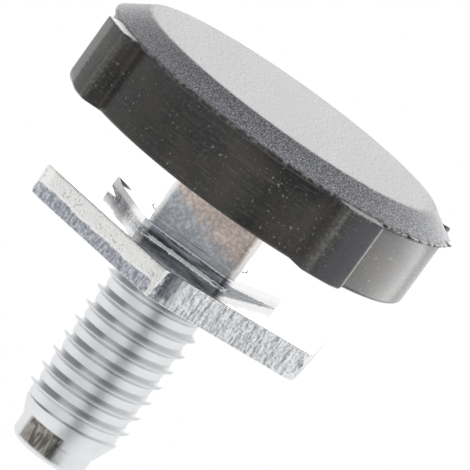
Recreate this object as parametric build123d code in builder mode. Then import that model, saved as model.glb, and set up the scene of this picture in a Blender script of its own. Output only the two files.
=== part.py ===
from build123d import *
import os
from math import cos, radians, sin

# Adjustable foot of a washing machine, standing on its rubber pad with the stud pointing up.
# The origin is the middle of the contact face, and +Z runs along the stud towards its tip.
# All sizes are in millimetres, and all angles in degrees.

# Rubber pad, moulded round the head of the stud
contact_radius = 14.3
sole_radius = 16.55
parting_height = 1.55
flash_lip = 0.3
wall_radius = 16.3
pad_height = 7.9
lobe_radius = 17.9
lobe_foot_angle = 37.5
lobe_crest_angle = 40.8
lobe_ridge_angle = 53.0
ridge_draft_angle = 0.6
lobe_turn = 13.3
lobe_root_depth = 0.7
rim_bevel = 0.35

# Stud: round head with a bevelled face, square neck, threaded shank and dog point
head_radius = 11.0
head_cover = 1.9
head_edge = 1.0
head_bevel = 2.2
neck_width = 8.66
neck_corner = 0.9
neck_length = 5.38
shank_diameter = 9.44
shank_length = 17.6
point_taper_length = 2.9
dog_diameter = 6.9
dog_length = 1.75
dog_end_bevel = 0.7

# Hexagon washer, seated against the shoulder below the square neck
washer_flats = 14.8
washer_thickness = 1.09
washer_clearance = 0.25
washer_edge_round = 0.12

# Hexagon plate nut, punched from plate: a smooth band on the pad side, a torn band below it
nut_flats = 26.45
nut_smooth_band = 1.5
nut_torn_band = 1.22
nut_torn_taper = 3.0
nut_edge_round = 0.18
nut_clearance = 0.05
nut_bore_chamfer = 0.5
hex_turn = 2.6
hex_sides = 6

# Places and sizes that follow from the ones above
shank_radius = shank_diameter / 2
head_seat = pad_height - head_cover
rim_start = pad_height - rim_bevel
head_face = head_seat - head_edge - head_bevel
shoulder = pad_height + neck_length
washer_seat = shoulder + washer_thickness
thread_end = shoulder + shank_length
dog_start = thread_end + point_taper_length
tip = dog_start + dog_length
nut_turn = hex_turn + 180 / hex_sides


def polar_point(radius, angle):
    """Point at a radius, with the angle measured from -Y towards +X."""
    return (radius * sin(radians(angle)), -radius * cos(radians(angle)))


def polar_run(angle):
    """Direction in which the same angle grows, square to the radius."""
    return (cos(radians(angle)), sin(radians(angle)))


# Stud: a bevelled head and a pointed shank, both revolved, with a square neck between them
with BuildPart() as threaded_stud:
    with BuildSketch(Plane.XZ) as head_section:
        with BuildLine():
            Polyline(
                (0, head_face),
                (head_radius - head_bevel, head_face),
                (head_radius, head_seat - head_edge),
                (head_radius, head_seat),
                (0, head_seat),
                close=True,
            )
        make_face()
    revolve(axis=Axis.Z)
    with BuildSketch(Plane.XY.offset(head_seat)) as neck_section:
        Rectangle(neck_width, neck_width)
        fillet(neck_section.vertices(), neck_corner)
    extrude(amount=shoulder - head_seat)
    with BuildSketch(Plane.XZ) as shank_section:
        with BuildLine():
            Polyline(
                (0, shoulder),
                (shank_radius, shoulder),
                (shank_radius, thread_end),
                (dog_diameter / 2, dog_start),
                (dog_diameter / 2, tip),
                (0, tip),
                close=True,
            )
        make_face()
    revolve(axis=Axis.Z)
    chamfer(threaded_stud.edges().group_by(Axis.Z)[-1], dog_end_bevel)
threaded_stud.part.label = "threaded_stud"

# Space that the stud's head and neck take up in the rubber
with BuildPart() as stud_space:
    add(threaded_stud.part)
    split(bisect_by=Plane.XY.offset(shoulder), keep=Keep.BOTTOM)

# Grip lobes: four raised pads round the wall, in mirrored pairs, with a soft flank and a sharp ridge
with BuildPart() as grip_lobes:
    with BuildSketch(Plane.XY.offset(parting_height).rotated((0, 0, lobe_turn))) as lobe_section:
        with BuildLine():
            lobe_foot = polar_point(wall_radius, lobe_foot_angle)
            lobe_crest = polar_point(lobe_radius, lobe_crest_angle)
            lobe_ridge = polar_point(lobe_radius, lobe_ridge_angle)
            root_radius = wall_radius - lobe_root_depth
            ridge_root = polar_point(root_radius, lobe_ridge_angle + ridge_draft_angle)
            foot_root = polar_point(root_radius, lobe_foot_angle)
            flank_runs = (polar_run(lobe_foot_angle), polar_run(lobe_crest_angle))
            Spline(lobe_foot, lobe_crest, tangents=flank_runs)
            crest_middle = polar_point(lobe_radius, (lobe_crest_angle + lobe_ridge_angle) / 2)
            ThreePointArc(lobe_crest, crest_middle, lobe_ridge)
            Polyline(lobe_ridge, ridge_root, foot_root, lobe_foot)
        make_face()
        mirror(about=Plane.YZ)
        mirror(about=Plane.XZ)
    extrude(amount=pad_height - parting_height)
    with BuildSketch(Plane.XZ) as lobe_reach:
        with BuildLine():
            Polyline(
                (0, parting_height),
                (lobe_radius, parting_height),
                (lobe_radius, rim_start),
                (lobe_radius - rim_bevel, pad_height),
                (0, pad_height),
                close=True,
            )
        make_face()
    revolve(axis=Axis.Z, mode=Mode.INTERSECT)

# Pad: a revolved body with a bevelled sole, a moulded parting lip and a bevelled rim, and its lobes
with BuildPart() as rubber_pad:
    with BuildSketch(Plane.XZ) as pad_section:
        with BuildLine():
            Polyline(
                (0, 0),
                (contact_radius, 0),
                (sole_radius, parting_height),
                (sole_radius, parting_height + flash_lip),
                (wall_radius, parting_height + flash_lip),
                (wall_radius, rim_start),
                (wall_radius - rim_bevel, pad_height),
                (0, pad_height),
                close=True,
            )
        make_face()
    revolve(axis=Axis.Z)
    add(grip_lobes.part)
    add(stud_space.part, mode=Mode.SUBTRACT)
rubber_pad.part.label = "rubber_pad"

# Washer: a punched hexagon with a flat towards -Y
with BuildPart() as hex_washer:
    with BuildSketch(Plane.XY.offset(shoulder)) as washer_section:
        RegularPolygon(washer_flats / 2, hex_sides, major_radius=False, rotation=hex_turn)
        Circle(shank_radius + washer_clearance, mode=Mode.SUBTRACT)
    extrude(amount=washer_thickness)
    washer_rim = hex_washer.edges().filter_by(GeomType.LINE).group_by(Axis.Z)[0]
    fillet(washer_rim, washer_edge_round)
hex_washer.part.label = "hex_washer"

# Plate nut: a larger hexagon with a corner towards -Y, its torn band drawn in a little
with BuildPart() as plate_nut:
    with BuildSketch(Plane.XY.offset(washer_seat)) as nut_section:
        RegularPolygon(nut_flats / 2, hex_sides, major_radius=False, rotation=nut_turn)
    extrude(amount=nut_smooth_band)
    fillet(plate_nut.edges().group_by(Axis.Z)[0], nut_edge_round)
    extrude(plate_nut.faces().sort_by(Axis.Z)[-1], amount=nut_torn_band, taper=nut_torn_taper)
    Hole(shank_radius + nut_clearance)
    chamfer(plate_nut.edges().filter_by(GeomType.CIRCLE), nut_bore_chamfer)
plate_nut.part.label = "plate_nut"

os.makedirs("parts", exist_ok=True)
for piece in (rubber_pad, threaded_stud, hex_washer, plate_nut):
    export_step(piece.part, f"parts/{piece.part.label}.step")
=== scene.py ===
# %% [markdown]
# # The foot of a washing machine
# The foot is a threaded steel stud whose head is moulded into a black rubber pad. A small hexagon
# washer and a large hexagon nut, both punched from plate, sit on the thread under the square neck.
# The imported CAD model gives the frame: its bodies move, and every piece made here rides on one of
# them. The pieces are drawn where the CAD solids are, so nothing has to be fitted afterwards.

# %% Load the frame
import math

import bmesh
import bpy
from mathutils import Matrix, Vector, noise


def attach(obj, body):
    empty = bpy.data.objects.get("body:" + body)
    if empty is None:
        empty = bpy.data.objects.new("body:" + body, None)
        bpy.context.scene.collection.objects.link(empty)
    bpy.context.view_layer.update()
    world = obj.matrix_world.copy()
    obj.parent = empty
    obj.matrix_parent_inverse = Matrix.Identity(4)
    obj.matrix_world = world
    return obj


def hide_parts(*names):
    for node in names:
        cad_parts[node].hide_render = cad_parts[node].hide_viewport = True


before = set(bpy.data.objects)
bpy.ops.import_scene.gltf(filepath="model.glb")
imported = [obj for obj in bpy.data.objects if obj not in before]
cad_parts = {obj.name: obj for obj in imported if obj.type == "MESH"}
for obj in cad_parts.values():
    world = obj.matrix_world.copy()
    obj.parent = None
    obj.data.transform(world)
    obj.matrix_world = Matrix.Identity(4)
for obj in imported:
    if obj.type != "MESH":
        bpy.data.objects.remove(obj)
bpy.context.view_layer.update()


# %% [markdown]
# ## Camera
# The picture was taken close to the plane of the rubber sole, with the stud pointing down and to the
# left. A camera can be aimed with a constraint, but a fitted place and two directions are exact, so
# the three axes of the camera are written into its matrix. The lens follows from the picture's width.

# %% Camera
picture_pixels = 470
focal_pixels = 6283.14
sensor_mm = 36.0
view_reach = 10.0
camera_place = Vector((0.0, -0.507793, -0.073815))
camera_look = Vector((-0.00420447, 0.98620489, 0.16547576))
camera_up = Vector((0.58394856, 0.13675362, -0.80018906))

camera_data = bpy.data.cameras.new("camera")
camera_data.sensor_width = sensor_mm
camera_data.lens = focal_pixels / picture_pixels * sensor_mm
camera_data.clip_end = view_reach
camera = bpy.data.objects.new("camera", camera_data)
bpy.context.collection.objects.link(camera)
camera_right = camera_look.cross(camera_up)
camera_turn = Matrix((camera_right, camera_up, -camera_look)).transposed()
camera.matrix_world = Matrix.Translation(camera_place) @ camera_turn.to_4x4()
bpy.context.scene.camera = camera
bpy.context.scene.view_settings.view_transform = "Standard"
print("lens in millimetres:", round(camera_data.lens, 2))

# %% [markdown]
# ## Node helpers
# A material is a small graph of nodes. By hand it is wired in the shader editor. A script has to name
# every socket, so a class keeps the tree, and each of its methods adds one node, sets or links its
# sockets and returns the result. The finishes below then read as lists of what feeds what.

# %% Node graph
class Graph:
    """The node tree of a material or a world, emptied and ready to be filled."""

    def __init__(self, owner):
        owner.use_nodes = True
        self.tree = owner.node_tree
        self.tree.nodes.clear()

    def put(self, socket, value):
        """Links a result to a socket, or sets the socket itself. A colour comes without its alpha."""
        if isinstance(value, bpy.types.NodeSocket):
            self.tree.links.new(value, socket)
        elif socket.type == "RGBA":
            socket.default_value = (*value, 1.0)
        else:
            socket.default_value = value

    def add(self, kind, inputs=None, **settings):
        """Outputs of a new node, with its properties set and its inputs set or linked."""
        node = self.tree.nodes.new(kind)
        for name, value in settings.items():
            setattr(node, name, value)
        for name, value in (inputs or {}).items():
            self.put(node.inputs[name], value)
        return node.outputs

    def maths(self, operation, first, second=0.0):
        """Result of one Math node."""
        return self.add("ShaderNodeMath", {0: first, 1: second}, operation=operation)[0]

    def times(self, first, *others):
        """Product of results and numbers."""
        for other in others:
            first = self.maths("MULTIPLY", first, other)
        return first

    def plus(self, first, second):
        """Sum of two results."""
        return self.maths("ADD", first, second)

    def spread(self, value, low, high, to_low=0.0, to_high=1.0):
        """Stretches value from low..high to to_low..to_high with soft ends."""
        inputs = {0: value, 1: low, 2: high, 3: to_low, 4: to_high}
        return self.add("ShaderNodeMapRange", inputs, interpolation_type="SMOOTHSTEP")[0]

    def below(self, value, low, high):
        """1 below low, 0 above high, and soft between."""
        return self.spread(value, low, high, 1.0, 0.0)

    def band(self, value, start, full, fade, end):
        """1 from full to fade, 0 before start and after end, and soft between."""
        return self.times(self.spread(value, start, full), self.below(value, fade, end))

    def mix(self, share, first, second):
        """Colour that goes from first to second as share goes from 0 to 1."""
        return self.add("ShaderNodeMix", {0: share, 6: first, 7: second}, data_type="RGBA")[2]

    def layers(self, tint, *coats):
        """Lays coats, each a share and a colour, over a colour one after the other."""
        for share, colour in coats:
            tint = self.mix(share, tint, colour)
        return tint


print("node helpers ready")

# %% [markdown]
# ## World
# The background is white, and polished metal should mirror that white, so the world answers camera
# rays with plain white and gives scattered light an even level. A room is never white all round,
# though, and steel gets its contrast from the dark places that it mirrors. So glossy rays also meet
# two soft dark places and one narrow upright strip on the camera's side. A photograph of a room could
# do the same, but a few directions in the nodes are enough, and they need no file.

# %% Room that the metal mirrors
white = (1.0, 1.0, 1.0)
dark_places = (
    ((0.55, -0.58, -0.60), 0.50, 0.88, (0.45, 0.46, 0.47)),
    ((-0.35, -0.75, 0.55), 0.86, 0.96, (0.22, 0.23, 0.24)),
)
strip_ahead = (-0.342, -0.94, 0.0)
strip_across = (0.94, -0.342, 0.0)
strip_shade = (0.18, 0.185, 0.19)

world = bpy.data.worlds.new("studio")
bpy.context.scene.world = world
room = Graph(world)
direction = room.add("ShaderNodeTexCoord")["Generated"]


def towards(side):
    """How far a ray leans towards a side: 1 along it, 0 square to it, -1 away from it."""
    inputs = {0: direction, 1: side}
    return room.add("ShaderNodeVectorMath", inputs, operation="DOT_PRODUCT")["Value"]


mirrored = white
for side, start, end, shade in dark_places:
    mirrored = room.mix(room.spread(towards(side), start, end), mirrored, shade)
off_strip = room.maths("ABSOLUTE", towards(strip_across))
strip = room.times(room.below(off_strip, 0.06, 0.20), room.spread(towards(strip_ahead), 0.2, 0.5))
mirrored = room.mix(strip, mirrored, strip_shade)
print("dark places that metal mirrors:", len(dark_places) + 1)

# %% World
scattered_level = 0.45
rays = room.add("ShaderNodeLightPath")
mirror_rays = room.maths("MAXIMUM", rays["Is Glossy Ray"], rays["Is Transmission Ray"])
scattered, mirror, backdrop = (
    room.add("ShaderNodeBackground", {"Color": colour, "Strength": strength})[0]
    for colour, strength in ((white, scattered_level), (mirrored, 1.0), (white, 1.0))
)
lighting = room.add("ShaderNodeMixShader", {0: mirror_rays, 1: scattered, 2: mirror})[0]
answer = room.add("ShaderNodeMixShader", {0: rays["Is Camera Ray"], 1: lighting, 2: backdrop})[0]
room.add("ShaderNodeOutputWorld", {"Surface": answer})
print("world nodes:", len(room.tree.nodes))

# %% [markdown]
# ## Floor
# The foot stands on a pale floor that takes its shadow. The camera is lower than the sole, so a plain
# plane would hide the whole foot. This floor is clear from behind, where the camera is, and pale for
# views from above. Shadow rays pass it, so that the lamp below reaches the sole, and so do glossy
# rays, so that steel mirrors the white room. Under the sole it has a hole, because two faces in one
# plane would show through each other.

# %% Floor
mm = 0.001
floor_hole = 14.02 * mm
floor_reach = 1.5
floor_steps = 128

bm = bmesh.new()
bmesh.ops.create_circle(bm, cap_ends=False, radius=floor_hole, segments=floor_steps)
grown = bmesh.ops.extrude_edge_only(bm, edges=list(bm.edges))["geom"]
outer = [part for part in grown if isinstance(part, bmesh.types.BMVert)]
wide = floor_reach / floor_hole
bmesh.ops.scale(bm, vec=Vector((wide, wide, 1.0)), verts=outer)
bmesh.ops.recalc_face_normals(bm, faces=bm.faces)
if bm.faces[:][0].normal.z < 0:
    bmesh.ops.reverse_faces(bm, faces=bm.faces)
floor_mesh = bpy.data.meshes.new("floor")
bm.to_mesh(floor_mesh)
bm.free()
floor = bpy.data.objects.new("floor", floor_mesh)
bpy.context.collection.objects.link(floor)
print("floor faces:", len(floor_mesh.polygons))

# %% Floor paint
floor_grey = (0.86, 0.86, 0.86)
floor_paint = bpy.data.materials.new("floor_paint")
paint = Graph(floor_paint)
rays = paint.add("ShaderNodeLightPath")
behind = paint.add("ShaderNodeNewGeometry")["Backfacing"]
passing = paint.maths("MAXIMUM", rays["Is Shadow Ray"], rays["Is Glossy Ray"])
passing = paint.maths("MAXIMUM", passing, behind)
pale = paint.add("ShaderNodeBsdfDiffuse", {"Color": floor_grey})[0]
clear = paint.add("ShaderNodeBsdfTransparent")[0]
surface = paint.add("ShaderNodeMixShader", {0: passing, 1: pale, 2: clear})[0]
paint.add("ShaderNodeOutputMaterial", {"Surface": surface})
floor_mesh.materials.append(floor_paint)
print("floor paint nodes:", len(paint.tree.nodes))

# %% [markdown]
# ## Lamps
# Four square lamps stand round the foot: below the sole, beside it, behind it and above it. Large
# lamps give soft shadows, as the white tent of a product photograph does. No camera sees them, and
# metal mirrors a lamp only where that is asked for, because its reflection would be a hard square.

# %% Lamps
lamp_aim = Vector((0, 0, 0.015))


def soft_lamp(name, place, size, watts, mirrored=False):
    """A square lamp that faces the foot, and that no camera sees: metal mirrors it if asked to."""
    data = bpy.data.lights.new(name, "AREA")
    data.size = size
    data.energy = watts
    lamp = bpy.data.objects.new(name, data)
    bpy.context.collection.objects.link(lamp)
    lamp.location = place
    lamp.rotation_euler = (lamp_aim - Vector(place)).to_track_quat("-Z", "Y").to_euler()
    lamp.visible_camera = False
    lamp.visible_glossy = mirrored
    return lamp


soft_lamp("sole_lamp", (-0.15, -0.25, -0.55), 0.35, 1.6)
right_lamp = soft_lamp("right_lamp", (-0.55, 0.235, -0.05), 0.70, 4.2, mirrored=True)
soft_lamp("back_lamp", (0.0, 0.60, -0.11), 0.42, 1.2, mirrored=True)
soft_lamp("top_lamp", (-0.25, -0.10, 0.60), 0.50, 1.2)
print("lamps:", len(bpy.data.lights))

# %% [markdown]
# ## Mesh helpers
# Every piece here is round or nearly so. A ring of edges is extruded again and again, and each new
# ring is shaped by a rule that says how far out and how high it lies at every angle. A lathe with
# the spin operator makes plain rounds faster, but a ring can also be lobed, square or hexagonal.
# Shapes are drawn in millimetres, with angles from -Y towards +X, and scaled to metres at the end.

# %% Rings
def shape_ring(rim, rule):
    """Moves each corner of a ring to the radius and height that the rule gives for its angle."""
    for corner in {end for edge in rim for end in edge.verts}:
        turn = math.atan2(corner.co.x, -corner.co.y)
        radius, height = rule(turn)
        corner.co = (radius * math.sin(turn), -radius * math.cos(turn), height)


def start_ring(bm, steps, rule, turn=0.0):
    """A first ring of edges, with one corner at the given angle."""
    made = bmesh.ops.create_circle(bm, cap_ends=False, radius=1.0, segments=steps)["verts"]
    bmesh.ops.rotate(bm, cent=(0, 0, 0), matrix=Matrix.Rotation(turn, 3, "Z"), verts=made)
    rim = list({edge for corner in made for edge in corner.link_edges})
    shape_ring(rim, rule)
    return rim


def grow_ring(bm, rim, rule):
    """Extrudes an open ring into the next one."""
    grown = bmesh.ops.extrude_edge_only(bm, edges=rim)["geom"]
    new_rim = [part for part in grown if isinstance(part, bmesh.types.BMEdge) and part.is_boundary]
    shape_ring(new_rim, rule)
    return new_rim


def grow_rings(bm, rim, rules):
    """Extrudes an open ring through a list of rules, and returns the last ring."""
    for rule in rules:
        rim = grow_ring(bm, rim, rule)
    return rim


def level(radius, height):
    """Rule for a plain round ring."""
    return lambda turn: (radius, height)


def close_ring(bm, rim):
    """Fills an open ring with one face."""
    bmesh.ops.contextual_create(bm, geom=rim)


print("ring helpers ready")

# %% [markdown]
# A finished shape becomes an object at the origin. It is shaded smooth, apart from sharp edges and
# from level faces: a long level face beside a small bevel would otherwise be shaded as if it were
# bent. A closed shape has two faces at each edge, and the count of other edges is printed.

# %% Finished pieces
merge_distance = 0.003
sharp_angle = math.radians(33)
level_limit = 0.9999


def open_edges(mesh):
    """How many edges have other than two faces: a closed shape has none."""
    check = bmesh.new()
    check.from_mesh(mesh)
    loose = sum(1 for edge in check.edges if len(edge.link_faces) != 2)
    check.free()
    return loose


def into_piece(bm, name):
    """Turns a shape drawn in millimetres into a smooth object in metres, at the origin."""
    bmesh.ops.remove_doubles(bm, verts=bm.verts, dist=merge_distance)
    bmesh.ops.recalc_face_normals(bm, faces=bm.faces)
    bmesh.ops.scale(bm, vec=Vector((mm, mm, mm)), verts=bm.verts)
    mesh = bpy.data.meshes.new(name)
    bm.to_mesh(mesh)
    bm.free()
    mesh.shade_smooth()
    mesh.set_sharp_from_angle(angle=sharp_angle)
    for face in mesh.polygons:
        face.use_smooth = abs(face.normal.z) < level_limit
    piece = bpy.data.objects.new(name, mesh)
    bpy.context.collection.objects.link(piece)
    print(name, "faces:", len(mesh.polygons), "open edges:", open_edges(mesh))
    return piece


print("a level face leans by less than", round(math.degrees(math.acos(level_limit)), 1), "degrees")

# %% Soft steps and noise
def soft_step(value, low, high):
    """0 below low, 1 above high, and smooth between."""
    share = min(max((value - low) / (high - low), 0.0), 1.0)
    return share * share * (3 - 2 * share)


def wander(x, y, z, scale):
    """Smooth noise between about -1 and 1, with the given number of waves per unit."""
    return noise.noise(Vector((x * scale, y * scale, z * scale)))


print("half a soft step:", soft_step(0.5, 0.0, 1.0))

# %% [markdown]
# ## Rubber pad
# The pad is moulded: a flat sole, a bevel, a parting line with a thin lip of flash, and a wall with
# four raised grip lobes. Each lobe has a soft flank on one side and a sharp ridge on the other. The
# CAD solid has the same form, but the torn flash and the worn corners want a finer mesh, so the
# outline is a rule for the radius at each angle, and rings of it are stacked from the sole up.

# %% Pad outline
contact_radius = 14.3
sole_radius = 16.55
parting_height = 1.55
flash_lip = 0.3
wall_radius = 16.3
lobe_radius = 17.9
pad_top = 7.9
lobe_turn = math.radians(13.3)
flank_low = math.radians(37.5)
flank_high = math.radians(40.8)
ridge_angle = math.radians(53.2)


def from_lobe_axis(turn):
    """Angle from the line that the lobes are mirrored about."""
    return math.acos(min(abs(math.cos(turn - lobe_turn)), 1.0))


def lobe_share(turn):
    """1 on a grip lobe, 0 on the plain wall, and between on a lobe's soft flank."""
    from_axis = from_lobe_axis(turn)
    if from_axis > ridge_angle:
        return 0.0
    return soft_step(from_axis, flank_low, flank_high)


def wall_at(turn):
    """Radius of the pad's wall at an angle."""
    return wall_radius + (lobe_radius - wall_radius) * lobe_share(turn)


widest = max(wall_at(math.radians(step)) for step in range(360))
print("widest wall in millimetres:", round(widest, 2))

# %% [markdown]
# Rubber squeezed out between the halves of the mould is torn off by hand. It leaves ragged flash on
# one side of the parting line and one small nub, and the moulded edges are never quite even. The rim
# is worn rounder where a lobe's ridge meets it, most of all on the +X side. Sculpting would do for
# one pad, but noise read at an angle gives the same edge on each run.

# %% Torn flash and worn rim
flash_start, flash_full, flash_fade, flash_end = 40.0, 44.0, 100.0, 120.0
flash_least, flash_depth = 0.02, 0.28
nub_angle, nub_depth = 88.0, 0.35
rim_rounding = 0.35
more_wear, more_reach = 0.65, math.radians(9)
less_wear, less_reach = 0.25, math.radians(4)


def flash_at(turn):
    """How far the torn flash stands out of the parting line."""
    degrees = math.degrees(turn)
    torn = soft_step(-degrees, flash_start, flash_full)
    torn *= 1 - soft_step(-degrees, flash_fade, flash_end)
    tatters = wander(degrees, 3.0, 0.0, 0.31) + 0.8 * wander(degrees, 9.0, 0.0, 0.83)
    nub = 1 - soft_step(abs(degrees + nub_angle), 0.6, 1.6)
    return flash_least + flash_depth * torn * max(0.0, 0.5 + tatters) + nub_depth * nub


def edge_wobble(turn):
    """Small unevenness of a moulded edge."""
    return 0.03 * wander(math.sin(turn), math.cos(turn), 0.0, 9.0)


def rim_at(turn, lean):
    """Radius and height on the rounded rim, at a lean from upright to level."""
    from_axis = from_lobe_axis(turn)
    wear, reach = (more_wear, more_reach) if turn > 0 else (less_wear, less_reach)
    near_ridge = soft_step(from_axis, ridge_angle - reach, ridge_angle)
    rounding = rim_rounding + wear * near_ridge * (from_axis <= ridge_angle)
    return wall_at(turn) - rounding * (1 - math.cos(lean)), pad_top - rounding * (1 - math.sin(lean))


print("nub of flash in millimetres:", round(flash_at(math.radians(-nub_angle)), 2))

# %% Pad rings
pad_steps = 1080
wall_heights = (3.4, 4.8, 6.2)
rim_leans = (0.0, 22.5, 45.0, 67.5, 90.0)


def blended(turn, plain, lobed):
    """Radius and height between a plain place and a lobed place, by the lobe's share."""
    share = lobe_share(turn)
    return tuple(a + (b - a) * share for a, b in zip(plain, lobed))


pad_rules = [
    lambda t: (contact_radius - 0.30, 0.0),
    lambda t: (contact_radius - 0.06 + edge_wobble(t), 0.012),
    lambda t: (contact_radius + 0.10 + edge_wobble(t), 0.085),
    lambda t: (contact_radius + 0.75, 0.52),
    lambda t: (contact_radius + 1.50, 1.035),
    lambda t: (sole_radius - 0.12, parting_height - 0.083),
    lambda t: (sole_radius + flash_at(t), parting_height + 0.02),
    lambda t: blended(
        t,
        (sole_radius + 0.7 * flash_at(t), parting_height + flash_lip - 0.12),
        (wall_at(t) - 0.16, parting_height + 0.03),
    ),
    lambda t: blended(t, (sole_radius - 0.08, 1.86), (wall_at(t) - 0.04, parting_height + 0.07)),
    lambda t: blended(t, (wall_radius + 0.04, 1.90), (wall_at(t), parting_height + 0.20)),
    lambda t: blended(t, (wall_radius, 2.0), (wall_at(t), 2.0)),
]
for height in wall_heights:
    pad_rules.append(lambda t, height=height: (wall_at(t), height))
for degrees in rim_leans:
    pad_rules.append(lambda t, lean=math.radians(degrees): rim_at(t, lean))
pad_rules.append(level(wall_radius - 1.6, pad_top))

pad_bm = bmesh.new()
sole_rim = start_ring(pad_bm, pad_steps, pad_rules[0], lobe_turn)
pad_rim = grow_rings(pad_bm, sole_rim, pad_rules[1:])
print("pad rings:", len(pad_rules))

# %% [markdown]
# The neck of the stud leaves the rubber through a square hole with rounded corners, and its head
# lies in a round hollow inside. A boolean could cut both, but the same ring goes on inwards through
# them and closes the hollow, which keeps the mesh clean. The sole is closed by rings of its own.

# %% Neck hole and head hollow
neck_half = 8.66 / 2
neck_corner = 0.9
head_radius = 11.0
head_seat = 6.0
head_edge = 5.0
head_face = 2.8
head_flat = 8.8
gap = 0.02
sole_radii = (11.0, 8.0, 5.0, 2.0)


def neck_at(turn):
    """Radius of the square neck, with its rounded corners, at an angle."""
    fold = abs((turn + math.pi / 4) % (math.pi / 2) - math.pi / 4)
    centre = neck_half - neck_corner
    if neck_half * math.tan(fold) <= centre:
        return neck_half / math.cos(fold)
    along = centre * (math.cos(fold) + math.sin(fold))
    return along + math.sqrt(along**2 - 2 * centre**2 + neck_corner**2)


hollow_rules = [
    lambda t: (neck_at(t) + 3 * gap, pad_top),
    lambda t: (neck_at(t) + gap, pad_top - 0.15),
    lambda t: (neck_at(t) + gap, head_seat + gap),
    level(head_radius + gap, head_seat + gap),
    level(head_radius + gap, head_edge),
    level(head_flat + gap, head_face - gap),
]
close_ring(pad_bm, grow_rings(pad_bm, pad_rim, hollow_rules))
close_ring(pad_bm, grow_rings(pad_bm, sole_rim, [level(radius, 0.0) for radius in sole_radii]))
rubber_pad = into_piece(pad_bm, "moulded_pad")

# %% [markdown]
# Pale highlights are painted along the lobes' ridges and, less so, along their crests. A finish could
# find edges by their curvature, but that differs from one renderer to the next. So each vertex stores
# how much painted highlight it gets in an attribute, which the rubber finish reads.

# %% Painted edge highlights as an attribute
highlight_mark = rubber_pad.data.attributes.new("edge_highlight", "FLOAT", "POINT")
for index, corner in enumerate(rubber_pad.data.vertices):
    x, y, z = corner.co / mm
    radius = math.hypot(x, y)
    from_axis = from_lobe_axis(math.atan2(x, -y))
    crest = 1 - soft_step(math.degrees(abs(from_axis - flank_high)), 0.4, 1.4)
    ridge = 1 - soft_step(math.degrees(abs(from_axis - ridge_angle + 0.006)), 0.2, 0.7)
    on_wall = radius > wall_radius - 0.2 and parting_height < z
    on_ridge = radius > lobe_radius - 0.4
    highlight_mark.data[index].value = max(0.5 * crest, ridge * on_ridge) if on_wall else 0.0
print("highlighted corners:", sum(1 for mark in highlight_mark.data if mark.value > 0.5))

# %% [markdown]
# ## Thread
# The thread is rolled, sixteen turns to the inch, with rounded crests and roots. One tooth is drawn
# as a chain of edges. The spin operator, with a rise for every step, screws it once round the axis,
# and copies of that turn are stacked and merged, which is much quicker than one long spin. A Screw
# modifier would do as well, but this mesh still has to be cut and turned down. The same tooth, a
# little larger, makes the thread in the nut.

# %% Thread tooth
thread_pitch = 1.5875
thread_radius = 4.72
thread_depth = 0.56
crest_height = 14.895
crest_flat = 0.10
root_flat = 0.74
tooth_points = 18
steps_per_turn = 120


def tooth_depth(along):
    """Depth below the crest at a distance along the axis from it, with soft corners."""
    low = crest_flat / 2
    high = (thread_pitch - root_flat) / 2
    share = min(max((abs(along) - low) / (high - low), 0.0), 1.0)
    return thread_depth * (0.6 * share + 0.4 * soft_step(share, 0.0, 1.0))


def screw_thread(bm, grow, low, high):
    """Screws one tooth once round the axis and stacks copies of that turn from low to high."""
    turns = math.ceil((high - low) / thread_pitch) + 2
    first = crest_height + thread_pitch * math.floor((low - crest_height) / thread_pitch - 1)
    chain = []
    for point in range(tooth_points + 1):
        along = thread_pitch * (point / tooth_points - 0.5)
        radius = thread_radius + grow - tooth_depth(along)
        chain.append(bm.verts.new((radius, 0.0, first + along)))
    links = [bm.edges.new(pair) for pair in zip(chain, chain[1:])]
    bmesh.ops.spin(
        bm,
        geom=chain + links,
        cent=(0, 0, 0),
        axis=(0, 0, 1),
        dvec=(0, 0, thread_pitch / steps_per_turn),
        angle=math.tau,
        steps=steps_per_turn,
        use_merge=False,
    )
    one_turn = list(bm.verts) + list(bm.edges) + list(bm.faces)
    for turn in range(1, turns):
        copied = bmesh.ops.duplicate(bm, geom=one_turn)["geom"]
        corners = [part for part in copied if isinstance(part, bmesh.types.BMVert)]
        bmesh.ops.translate(bm, vec=(0, 0, thread_pitch * turn), verts=corners)
    bmesh.ops.remove_doubles(bm, verts=bm.verts, dist=merge_distance)
    return turns


print("tooth depth in millimetres:", round(tooth_depth(thread_pitch / 2), 3))

# %% Turning and cutting
cut_distance = 1e-5
same_height = 1e-3


def limit_radius(bm, rule, pick):
    """Holds every corner to the radius that the rule gives for its height: pick is min or max."""
    for corner in bm.verts:
        radius = math.hypot(corner.co.x, corner.co.y)
        held = pick(radius, rule(corner.co.z))
        corner.co.x *= held / radius
        corner.co.y *= held / radius


def open_rim(bm, height):
    """The open edges that lie at one height."""
    return [
        edge
        for edge in bm.edges
        if edge.is_boundary and all(abs(end.co.z - height) < same_height for end in edge.verts)
    ]


def trim(bm, low, high):
    """Cuts the turns off square at two heights, and returns the two open rims."""
    for height, normal in ((low, (0, 0, -1)), (high, (0, 0, 1))):
        bmesh.ops.bisect_plane(
            bm,
            geom=list(bm.verts) + list(bm.edges) + list(bm.faces),
            dist=cut_distance,
            plane_co=(0, 0, height),
            plane_no=normal,
            clear_outer=True,
        )
    return open_rim(bm, low), open_rim(bm, high)


print("cutting helpers ready")

# %% [markdown]
# ## Threaded stud
# The point of the stud is turned down after rolling, so the thread fades out over a taper and ends in
# a plain dog point with a rounded end. At the other end it runs out into a collar below the neck. A
# lathe takes metal away wherever the thread stands too far out, and limiting the radius of each
# vertex by its height does the same to the mesh.

# %% Stud shank and point
shoulder = 13.28
collar_start = 13.9
collar_end = 14.4
thread_end = 30.88
dog_start = 33.78
dog_radius = 3.45
tip = 35.53
dog_round = 0.7
round_steps = 5


def point_at(height):
    """Radius that the turned point leaves at a height."""
    share = min(max((height - thread_end) / (dog_start - thread_end), 0.0), 1.0)
    return thread_radius + (dog_radius - thread_radius) * share


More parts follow.
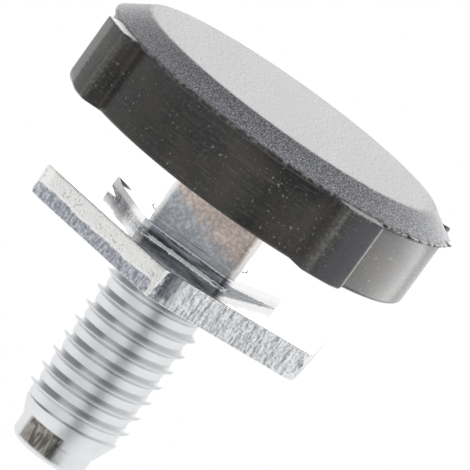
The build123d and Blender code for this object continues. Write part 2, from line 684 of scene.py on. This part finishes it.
def collar_at(height):
    """Radius of the plain collar that the thread runs out into below the neck."""
    if height >= collar_end:
        return 0.0
    return thread_radius - thread_depth * soft_step(height, collar_start, collar_end)


stud_bm = bmesh.new()
turns = screw_thread(stud_bm, 0.0, shoulder, dog_start + 0.2)
limit_radius(stud_bm, point_at, min)
limit_radius(stud_bm, collar_at, max)
start_rim, dog_rim = trim(stud_bm, shoulder - 0.01, dog_start + 0.1)
close_ring(stud_bm, start_rim)
for step in range(round_steps + 1):
    lean = math.pi / 2 * step / round_steps
    inward = dog_radius - dog_round * (1 - math.cos(lean))
    dog_rim = grow_ring(stud_bm, dog_rim, level(inward, tip - dog_round * (1 - math.sin(lean))))
close_ring(stud_bm, dog_rim)
print("turns of thread:", turns)

# %% [markdown]
# The square neck keeps the stud from turning in the rubber, and the head holds it there. Both are
# forged from the same bar. The head can't be seen, but the piece is whole without the pad, so it has
# the bevelled head of the CAD solid. One ring grows from the head's face up to the shoulder.

# %% Square neck and hidden head
neck_steps = 240
neck_rules = [
    level(head_flat, head_face),
    level(head_radius, head_edge),
    level(head_radius, head_seat),
    lambda t: (neck_at(t), head_seat),
    lambda t: (neck_at(t), 9.0),
    lambda t: (neck_at(t) - 0.005, 11.0),
    lambda t: (neck_at(t), shoulder),
]
head_rim = start_ring(stud_bm, neck_steps, neck_rules[0], math.pi / neck_steps)
close_ring(stud_bm, grow_rings(stud_bm, head_rim, neck_rules[1:]))
close_ring(stud_bm, head_rim)
threaded_stud = into_piece(stud_bm, "rolled_stud")

# %% [markdown]
# ## Hexagon washer
# The washer is punched from thin plate, which leaves its edges a little rounded. One corner of this
# one is bent towards the pad. An inset and a bevel would make a flat hexagon, but the bend is easier
# as part of a rule, so it is a ring like the others, with a hexagon for its outer rule and a circle
# for its hole.

# %% Washer outline
hex_turn = math.radians(2.6)
washer_flat = 14.8 / 2
washer_low = shoulder
washer_high = 14.37
washer_corner = 0.10
bent_corner = hex_turn + math.pi / 2
bend_height = 0.22


def hexagon(turn, flat, rounding):
    """Radius of a hexagon with a flat at turn 0, its corners softened."""
    fold = abs((turn + math.pi / 6) % (math.pi / 3) - math.pi / 6)
    sharp = flat / math.cos(fold)
    corner = flat / math.cos(math.pi / 6)
    return sharp - rounding * soft_step(sharp, corner - 3.0 * rounding, corner)


def washer_at(turn):
    """Radius of the washer's wall at an angle."""
    return hexagon(turn - hex_turn, washer_flat, washer_corner)


def bent(turn):
    """How far the bent corner is lifted towards the pad."""
    return bend_height * (1 - soft_step(abs(turn - bent_corner), 0.02, 0.24))


print("washer across corners:", round(2 * washer_at(bent_corner), 2), "mm")

# %% Washer
washer_hole = 4.79
hole_round = 0.04
hole_bevel = 0.15
level_reach = 6.7
washer_steps = 720
washer_rules = [
    level(washer_hole, washer_low + hole_round),
    level(washer_hole + hole_round, washer_low),
    level(level_reach, washer_low),
    lambda t: (washer_at(t) - 0.06, washer_low - bent(t)),
    lambda t: (washer_at(t) - 0.02, washer_low + 0.015 - bent(t)),
    lambda t: (washer_at(t), washer_low + 0.05 - bent(t)),
    lambda t: (washer_at(t), washer_high - 0.15 - bent(t)),
    lambda t: (washer_at(t) - 0.02, washer_high - 0.04 - bent(t)),
    lambda t: (washer_at(t) - 0.06, washer_high - bent(t)),
    level(level_reach, washer_high),
    level(washer_hole + hole_bevel, washer_high),
    level(washer_hole, washer_high - hole_bevel),
]
washer_bm = bmesh.new()
first_rim = start_ring(washer_bm, washer_steps, washer_rules[0], hex_turn)
last_rim = grow_rings(washer_bm, first_rim, washer_rules[1:])
bmesh.ops.bridge_loops(washer_bm, edges=first_rim + last_rim)
hex_washer = into_piece(washer_bm, "punched_washer")

# %% [markdown]
# ## Plate nut
# The nut is punched from plate. The punch shears the first part of each side into a smooth bright
# band, and tears the rest, which is left darker, drawn in a little, and streaked along the stroke.
# Every side tears at its own depth, and one side nearly from the start. A displace modifier would
# roughen all of it alike, so the boundary is a rule along the rim, and the height of each ring
# decides whether a corner is sheared or torn.

# %% Nut rim rules
nut_flat = 26.45 / 2
nut_low = washer_high
nut_high = 17.09
nut_turn = hex_turn + math.pi / 6
nut_corner = 0.22
smooth_depth, torn_side_depth, strip_depth = 1.52, 0.10, 2.9
noise_circle = 15


def around(turn):
    """Point on a circle, where the noise of the nut's rim is read."""
    return math.sin(turn) * noise_circle, math.cos(turn) * noise_circle


def tear_depth(turn):
    """Height above the pad side at which the smooth band ends."""
    degrees = math.degrees(turn - hex_turn)
    scallop = 0.30 * wander(*around(turn), 2.0, 0.28) + 0.12 * wander(*around(turn), 7.0, 0.9)
    near_right = soft_step(-degrees, 0.3, 1.2) * (1 - soft_step(-degrees, 58.5, 60.0))
    corner_strip = 1 - soft_step(abs(degrees - 0.8), 0.5, 1.3)
    depth = (smooth_depth + scallop) * (1 - near_right) + torn_side_depth * near_right
    return depth + (strip_depth - depth) * corner_strip


def torn_share(turn, height):
    """0 on the sheared band, 1 on the torn one."""
    edge = nut_low + tear_depth(turn)
    return soft_step(height, edge - 0.06, edge + 0.06)


def nut_wall(turn, height):
    """Radius of the nut's wall with the marks of the punch on it."""
    torn = torn_share(turn, height)
    x, y = around(turn)
    streaks = 0.045 * wander(x, y, height * 0.12, 3.1) + 0.03 * wander(x, y, height * 0.3, 6.5)
    grains = 0.03 * wander(x, y, height, 2.6)
    drawn_in = 0.05 + 0.05 * (height - nut_low) / (nut_high - nut_low)
    sheared = 0.008 * wander(x, y, height, 1.3)
    ragged = 1 - soft_step(abs(math.degrees(turn - hex_turn) + 60), 0.8, 3.0)
    ragged *= 0.16 * wander(x, y, height, 1.9)
    wall = hexagon(turn - nut_turn, nut_flat, nut_corner)
    return wall + ragged + sheared * (1 - torn) + torn * (streaks + grains - drawn_in)


print("smooth band at the near left side:", round(tear_depth(math.radians(33)), 2), "mm")

# %% Nut rim
nut_steps = 1440
nut_rings = 26
first_height = nut_low + 0.16
last_height = nut_high - 0.06
nut_rules = [
    lambda t: (nut_wall(t, nut_low) - 0.12, nut_low),
    lambda t: (nut_wall(t, nut_low) - 0.03, nut_low + 0.03),
]
for ring in range(nut_rings + 1):
    height = first_height + (last_height - first_height) * ring / nut_rings
    nut_rules.append(lambda t, height=height: (nut_wall(t, height), height))
nut_rules.append(lambda t: (nut_wall(t, nut_high) - 0.07, nut_high))
nut_bm = bmesh.new()
grow_rings(nut_bm, start_ring(nut_bm, nut_steps, nut_rules[0], nut_turn), nut_rules[1:])
print("nut rings:", len(nut_rules))

# %% [markdown]
# The bore is tapped, with a bevel at each mouth. Its thread is screwed in a mesh of its own, because
# the cuts would go through the rim as well. It is then added to the nut, and the two level faces are
# bridged from the bore to the rim.

# %% Nut thread
nut_play = 0.06
bore_mouth = 4.97
spare = 0.01


def mouth_at(height):
    """Radius of the bevel at either end of the nut's bore."""
    return bore_mouth - min(height - nut_low, nut_high - height)


bore_bm = bmesh.new()
screw_thread(bore_bm, nut_play, nut_low, nut_high)
trim(bore_bm, nut_low - spare, nut_high + spare)
limit_radius(bore_bm, mouth_at, max)
trim(bore_bm, nut_low, nut_high)
bore_mesh = bpy.data.meshes.new("bore")
bore_bm.to_mesh(bore_mesh)
bore_bm.free()
nut_bm.from_mesh(bore_mesh)
bpy.data.meshes.remove(bore_mesh)
for height in (nut_low, nut_high):
    open_rims = open_rim(nut_bm, height)
    bmesh.ops.bridge_loops(nut_bm, edges=open_rims)
    print("edges joined:", len(open_rims))
plate_nut = into_piece(nut_bm, "punched_nut")

# %% [markdown]
# The finish has to change from sheared to torn exactly where the shape does. The rule that shaped the
# rim is asked once more, and each vertex stores its torn share in an attribute.

# %% Torn share as an attribute
rim_inside = 12.5
torn_mark = plate_nut.data.attributes.new("torn", "FLOAT", "POINT")
for index, corner in enumerate(plate_nut.data.vertices):
    x, y, z = corner.co / mm
    on_wall = math.hypot(x, y) > rim_inside and nut_low + 0.1 < z
    torn_mark.data[index].value = torn_share(math.atan2(x, -y), z) if on_wall else 0.0
print("torn corners:", sum(1 for mark in torn_mark.data if mark.value > 0.5))

# %% [markdown]
# ## Finishes
# All four finishes start in the same way: a Principled shader, the place on the piece in millimetres,
# and the way its surface faces. Object coordinates keep a pattern fixed to its piece when the piece
# moves, and at the same scale on each. Patterns are noise, drawn out where the metal or the rubber was
# stroked. A value that is the same all over is set on the shader's own socket.

# %% Finish helpers
class Finish(Graph):
    """A new material, with the place on the piece in millimetres and the way its surface faces."""

    def __init__(self, name):
        self.material = bpy.data.materials.new(name)
        super().__init__(self.material)
        self.shader = self.tree.nodes.new("ShaderNodeBsdfPrincipled")
        self.add("ShaderNodeOutputMaterial", {"Surface": self.shader.outputs[0]})
        where = self.add("ShaderNodeTexCoord")
        in_mm = {"Vector": where["Object"], "Scale": (1000, 1000, 1000)}
        self.place = self.add("ShaderNodeMapping", in_mm)[0]
        axes = self.add("ShaderNodeSeparateXYZ", {"Vector": self.place})
        self.east, self.north, self.up = axes["X"], axes["Y"], axes["Z"]
        self.facing = self.add("ShaderNodeSeparateXYZ", {"Vector": where["Normal"]})["Z"]

    def grain(self, scale, detail, stretch=(1, 1, 1)):
        """Noise of about scale grains per millimetre, drawn out along an axis by a small stretch."""
        drawn = self.add("ShaderNodeMapping", {"Vector": self.place, "Scale": stretch})[0]
        inputs = {"Vector": drawn, "Scale": scale, "Detail": detail}
        return self.add("ShaderNodeTexNoise", inputs)["Fac"]

    def attribute(self, name):
        """Share that is stored on the piece's vertices."""
        return self.add("ShaderNodeAttribute", attribute_name=name)["Fac"]

    def bump(self, height, strength, depth_mm):
        """Normal of a surface that is roughened by a result."""
        inputs = {"Height": height, "Strength": strength, "Distance": depth_mm * mm}
        return self.add("ShaderNodeBump", inputs)[0]

    def give(self, piece, sockets):
        """Sets or links the shader's sockets by name, and gives the material to a piece."""
        for name, value in sockets.items():
            self.put(self.shader.inputs[name], value)
        piece.data.materials.append(self.material)
        print(self.material.name, "nodes:", len(self.tree.nodes))


print("finish helpers ready")

# %% [markdown]
# ## Rubber
# The wall of the pad is smooth black rubber, a little brown in patches, with pale flecks, scratches
# that run round it, and painted highlights along its edges from the attribute. A painted sheen greys
# one lobe's edge, and another lobe's face is bluish. Each is a thin coat over the last: the brown, the
# flecks and the scratches as dirt and wear lie on the real pad, and the painted light in the same way.

# %% Rubber wall
wall_black, wall_brown = (0.026, 0.026, 0.025), (0.052, 0.047, 0.042)
pit_grey = (0.070, 0.069, 0.066)
scratch_grey = (0.115, 0.110, 0.100)
fleck_grey = (0.34, 0.34, 0.32)
face_blue = (0.060, 0.062, 0.074)
limb_sheen_grey = (0.29, 0.29, 0.28)
edge_highlight_grey, edge_highlight_pale = (0.22, 0.22, 0.21), (0.40, 0.40, 0.39)

rubber = Finish("black_rubber")
patches = rubber.grain(0.3, 3.0)
pits = rubber.grain(4.0, 4.0)
strokes = rubber.grain(1.6, 4.0, (0.25, 0.25, 6.0))
edge_highlight = rubber.attribute("edge_highlight")
blue_face = rubber.times(
    rubber.below(rubber.east, -9.8, -8.6), rubber.below(rubber.north, -13.7, -13.3), 0.7
)
# A painted sheen greys the near edge of the lobe on the +X side.
outward = rubber.plus(rubber.east, rubber.times(pits, 0.5))
painted_limb_sheen = rubber.times(
    rubber.spread(outward, 15.86, 16.04), rubber.below(rubber.north, -6.8, -6.4), 0.9
)
wall_tint = rubber.layers(
    rubber.mix(rubber.spread(patches, 0.35, 0.65), wall_black, wall_brown),
    (rubber.spread(pits, 0.45, 0.65, 0.0, 0.5), pit_grey),
    (rubber.spread(strokes, 0.54, 0.74, 0.0, 0.7), scratch_grey),
    (rubber.spread(pits, 0.66, 0.73), fleck_grey),
    (blue_face, face_blue),
    (painted_limb_sheen, limb_sheen_grey),
    # Painted highlights along the lobes' ridges and crests, read from the attribute.
    (rubber.times(edge_highlight, rubber.spread(pits, 0.35, 0.65, 0.4, 1.0)), edge_highlight_grey),
    (rubber.spread(edge_highlight, 0.80, 0.97), edge_highlight_pale),
)
print("nodes of the wall:", len(rubber.tree.nodes))

# %% [markdown]
# The mould is sand-blasted below the parting line, so the bevel and the sole are sandy and matte, and
# they look pale where light grazes them. The sole's pale tint is partly dust and partly a painted
# sheen for that grazing light. The level top is matte too. A dark seam follows the parting line, with
# pale flecks on its lip painted as a highlight. The wall stays glossy, and a sheen stands for the
# bloom that rubber gets with age.

# %% Rubber sole and gloss
bevel_dark, bevel_pale = (0.075, 0.078, 0.092), (0.40, 0.405, 0.425)
sole_dark, sole_pale = (0.060, 0.062, 0.062), (0.31, 0.315, 0.305)
seam_dark, seam_highlight = (0.03, 0.03, 0.03), (0.20, 0.20, 0.195)
wall_rough, sole_rough, top_rougher = 0.24, 0.43, 0.45

sand = rubber.grain(8.0, 2.0)
under = rubber.below(rubber.up, parting_height - 0.10, parting_height + 0.10)
sole = rubber.below(rubber.facing, -0.98, -0.90)
seam = rubber.band(
    rubber.up,
    parting_height - 0.17,
    parting_height - 0.03,
    parting_height + 0.05,
    parting_height + flash_lip,
)
mottle = rubber.plus(rubber.times(sand, 0.4), rubber.times(pits, 0.6))
# Pale flecks on the seam are a painted highlight along the parting lip.
seam_tint = rubber.mix(rubber.spread(rubber.grain(2.2, 3.0), 0.42, 0.64), seam_dark, seam_highlight)
tint = rubber.layers(
    wall_tint,
    (under, rubber.mix(rubber.spread(sand, 0.40, 0.68), bevel_dark, bevel_pale)),
    (seam, seam_tint),
    # The sole's pale is partly dust and partly a painted sheen where light grazes it.
    (sole, rubber.mix(rubber.spread(mottle, 0.38, 0.62), sole_dark, sole_pale)),
)
matte_top = rubber.spread(rubber.facing, 0.80, 0.98, 0.0, top_rougher)
rough = rubber.plus(rubber.spread(under, 0.0, 1.0, wall_rough, sole_rough), matte_top)
relief = rubber.plus(rubber.times(sand, under), rubber.times(pits, 0.4))
rubber.give(
    rubber_pad,
    {
        "Base Color": tint,
        "Roughness": rough,
        "Normal": rubber.bump(relief, 0.4, 0.08),
        "Specular IOR Level": 0.35,
        "Sheen Weight": 0.3,
        "Sheen Roughness": 0.35,
    },
)

# %% [markdown]
# The plain wall beside the right-hand lobe is bright in the picture, while the steel near it isn't.
# A lamp that strong would spoil the metal, so light linking lets the right lamp reach the pad alone.

# %% A lamp for the rubber alone
lit_by_right = bpy.data.collections.new("lit_by_right_lamp")
lit_by_right.objects.link(rubber_pad)
right_lamp.light_linking.receiver_collection = lit_by_right

# %% [markdown]
# ## Stud zinc
# The stud is zinc plated: a metal with a soft, slightly uneven gloss. The square neck is tinted
# copper-brown near the pad and bluish near the washer, with dark and bright marks, and its rounded
# corners get a painted highlight. The brown fades along a slanted line that noise makes uneven.

# %% Stud neck
neck_blue, neck_copper = (0.60, 0.65, 0.71), (0.74, 0.61, 0.55)
mark_dark, mark_bright = (0.36, 0.34, 0.33), (0.85, 0.84, 0.83)
corner_highlight = (0.93, 0.93, 0.93)

stud = Finish("stud_zinc")
cloud = stud.grain(0.8, 3.0)
marks = stud.grain(3.2, 5.0)
slant = stud.plus(stud.up, stud.times(stud.east, 0.35))
uneven = stud.plus(slant, stud.times(cloud, 3.0))
# Painted highlights on the neck's rounded corners.
neck_corner_highlight = stud.spread(stud.maths("ABSOLUTE", stud.east), 3.75, 4.05, 0.0, 0.8)
neck_tint = stud.layers(
    stud.mix(stud.below(uneven, 12.4, 14.0), neck_blue, neck_copper),
    (stud.spread(marks, 0.40, 0.60, 0.6, 0.0), mark_dark),
    (stud.spread(marks, 0.60, 0.70, 0.0, 0.8), mark_bright),
    (neck_corner_highlight, corner_highlight),
)
print("nodes of the neck:", len(stud.tree.nodes))

# %% [markdown]
# A dark reflection is painted on the pad side of the thread's flanks, in two columns along the stud,
# and the dog point has one dark, streaked patch where the plating is gone. Both are painted by their
# place and by the way the surface faces, over the cloudy plate.

# %% Stud thread and point
plate_grey, plate_pale = (0.70, 0.72, 0.735), (0.88, 0.89, 0.90)
dark_reflection_grey = (0.22, 0.23, 0.235)
bare_dark, bare_brown = (0.13, 0.125, 0.11), (0.36, 0.34, 0.31)

# A painted dark reflection on the flanks that face the pad, in two columns along the stud.
flank = stud.below(stud.facing, -0.70, -0.05)
left_column = stud.band(stud.east, 1.0, 2.3, 2.9, 4.3)
right_column = stud.times(stud.band(stud.east, -2.6, -1.0, -0.5, 1.0), 0.6)
columns = stud.times(stud.plus(left_column, right_column), stud.below(stud.north, -1.0, 1.0))
painted_dark_reflection = stud.times(flank, stud.spread(columns, 0.0, 1.0, 0.15, 0.8))
bare_patch = stud.times(
    stud.band(stud.east, -0.9, -0.4, 2.4, 2.9),
    stud.band(stud.up, dog_start - 0.93, dog_start - 0.78, tip - 0.63, tip - 0.33),
    stud.below(stud.north, -1.0, 0.0),
)
streaks = stud.grain(1.0, 3.0, (3.0, 3.0, 0.6))
tint = stud.layers(
    stud.mix(cloud, plate_grey, plate_pale),
    (painted_dark_reflection, dark_reflection_grey),
    (stud.below(stud.up, shoulder - 0.18, shoulder + 0.02), neck_tint),
    (bare_patch, stud.mix(stud.spread(streaks, 0.40, 0.60), bare_dark, bare_brown)),
)
stud.give(
    threaded_stud,
    {
        "Base Color": tint,
        "Roughness": stud.spread(cloud, 0.3, 0.7, 0.32, 0.42),
        "Metallic": 1.0,
        "Normal": stud.bump(marks, 0.2, 0.04),
    },
)

# %% [markdown]
# ## Washer zinc
# The washer's faces are bright. Its walls show how it was punched: the near one has a bluish sheared
# strip, the left one is bright and then torn, and the right one is bright in a wedge. The near wall
# also has a dark band of painted shade, and a light line at the nut that is a painted highlight. The
# polished nut mirrors these bands, so they are seen twice. Noise moves their boundaries, since no tear
# is straight.

# %% Washer walls
shade_dark, shade_grey = (0.045, 0.05, 0.06), (0.26, 0.27, 0.29)
sheared_blue, line_highlight = (0.60, 0.64, 0.70), (0.86, 0.87, 0.88)
torn_grey, torn_pale = (0.42, 0.43, 0.45), (0.80, 0.80, 0.81)
left_bright = (0.95, 0.95, 0.95)
right_bright, right_grey = (0.96, 0.96, 0.96), (0.36, 0.37, 0.39)

washer = Finish("washer_zinc")
fine = washer.grain(4.0, 4.0)
drawn = washer.grain(1.0, 4.0, (0.35, 0.35, 5.0))
uneven = washer.plus(washer.up, washer.times(fine, 0.3))
# Near wall: a streaked dark band of painted shade, a bluish sheared strip, and a painted highlight as
# the light line at the nut.
near_tint = washer.layers(
    washer.mix(washer.spread(drawn, 0.40, 0.68), shade_dark, shade_grey),
    (washer.below(uneven, washer_low + 0.28, washer_low + 0.44), sheared_blue),
    (washer.spread(uneven, washer_high - 0.07, washer_high + 0.05), line_highlight),
)
torn_tint = washer.mix(washer.spread(fine, 0.35, 0.65), torn_grey, torn_pale)
torn_part = washer.spread(uneven, washer_low + 0.62, washer_low + 0.82)
left_tint = washer.mix(torn_part, left_bright, torn_tint)
wedge = washer.plus(uneven, washer.times(washer.east, 0.115))
grey_part = washer.spread(wedge, washer_low + 0.18, washer_low + 0.32)
right_tint = washer.mix(grey_part, right_bright, right_grey)
wall_tint = washer.layers(
    near_tint,
    (washer.spread(washer.east, 3.6, 4.3), left_tint),
    (washer.below(washer.east, -4.4, -3.8), right_tint),
)
print("nodes of the walls:", len(washer.tree.nodes))

# %% Washer faces and gloss
face_grey, face_pale = (0.78, 0.79, 0.80), (0.95, 0.95, 0.95)
bend_rougher = 0.45

cloud = washer.grain(1.2, 3.0)
flatness = washer.maths("ABSOLUTE", washer.facing)
face_tint = washer.mix(cloud, face_grey, face_pale)
at_bend = washer.times(
    washer.spread(washer.east, 5.2, 6.4, 0.0, bend_rougher), washer.below(flatness, 0.82, 0.92)
)
washer.give(
    hex_washer,
    {
        "Base Color": washer.mix(washer.spread(flatness, 0.35, 0.75), wall_tint, face_tint),
        "Roughness": washer.plus(washer.spread(cloud, 0.3, 0.7, 0.14, 0.26), at_bend),
        "Metallic": 1.0,
    },
)

# %% [markdown]
# ## Nut zinc
# The nut's sheared band is bright with clusters of small pits, and its torn band is grey, streaked
# along the stroke and crumbled. The torn band is painted paler on the right, where light falls on it,
# and one dark stain lies beside the near corner. The attribute says which band a place is in.

# %% Nut walls
sheared_warm, sheared_bright = (0.82, 0.82, 0.80), (0.96, 0.95, 0.93)
pit_dark = (0.36, 0.36, 0.36)
torn_dark, torn_blue = (0.29, 0.31, 0.36), (0.60, 0.61, 0.65)
lit_torn_dark, lit_torn_pale = (0.46, 0.48, 0.50), (0.87, 0.88, 0.89)
stain_dark = (0.12, 0.13, 0.15)

nut = Finish("nut_zinc")
cloud = nut.grain(0.8, 3.0)
strokes = nut.grain(1.5, 4.0, (4.0, 4.0, 0.8))
crumbs = nut.grain(5.0, 4.0)
torn = nut.attribute("torn")
pitted = nut.times(
    nut.spread(crumbs, 0.30, 0.48, 0.7, 0.0), nut.spread(cloud, 0.42, 0.58, 0.2, 1.0)
)
broken = nut.plus(nut.times(strokes, 0.5), nut.times(crumbs, 0.5))
# The torn band is painted paler on the right, where light falls on it.
torn_tint = nut.mix(
    nut.below(nut.east, -0.5, 0.3),
    nut.mix(nut.spread(broken, 0.40, 0.60), torn_dark, torn_blue),
    nut.mix(nut.spread(broken, 0.38, 0.58), lit_torn_dark, lit_torn_pale),
)
beside = nut.plus(nut.east, nut.times(crumbs, 1.2))
stain = nut.times(
    nut.band(beside, -0.9, 0.3, 0.8, 1.1),
    nut.spread(nut.north, -13.5, -13.0, 0.85, 0.0),
    nut.spread(nut.up, nut_high - 0.79, nut_high - 0.29, 1.0, 0.3),
)
wall_tint = nut.layers(
    nut.mix(cloud, sheared_warm, sheared_bright),
    (pitted, pit_dark),
    (torn, torn_tint),
    (stain, stain_dark),
)
print("nodes of the walls:", len(nut.tree.nodes))

# %% [markdown]
# The level faces are polished by the rollers that made the plate, so they mirror the washer clearly.
# The walls are duller, the torn band most of all, and only the walls have a crumbly bump.

# %% Nut faces and gloss
face_grey, face_pale = (0.86, 0.86, 0.86), (0.95, 0.95, 0.95)
torn_rougher = 0.08
face_smoother = 0.20

flatness = nut.maths("ABSOLUTE", nut.facing)
face_tint = nut.mix(cloud, face_grey, face_pale)
rough = nut.plus(nut.spread(cloud, 0.3, 0.7, 0.26, 0.34), nut.times(torn, torn_rougher))
polish = nut.spread(flatness, 0.6, 0.9, 0.0, face_smoother)
relief = nut.times(crumbs, nut.below(flatness, 0.5, 0.9))
nut.give(
    plate_nut,
    {
        "Base Color": nut.mix(nut.spread(flatness, 0.6, 0.9), wall_tint, face_tint),
        "Roughness": nut.maths("SUBTRACT", rough, polish),
        "Metallic": 1.0,
        "Normal": nut.bump(relief, 0.35, 0.08),
    },
)

# %% [markdown]
# ## Riding on the frame
# The pad and the stud are one body. The nut turns on the stud and carries the washer along, so each
# rides on its own body. Parenting by hand would do for one pose, but a piece that names its body
# follows it at every pose. Each piece also hides the CAD node that it stands for.

# %% Ride
for piece, body, node, slot in (
    (rubber_pad, "foot", "rubber_pad", "rubber"),
    (threaded_stud, "foot", "threaded_stud", "stud_zinc"),
    (hex_washer, "washer", "hex_washer", "washer_zinc"),
    (plate_nut, "nut", "plate_nut", "nut_zinc"),
):
    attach(piece, body)
    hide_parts(node)
    print(piece.name, "rides on", body)
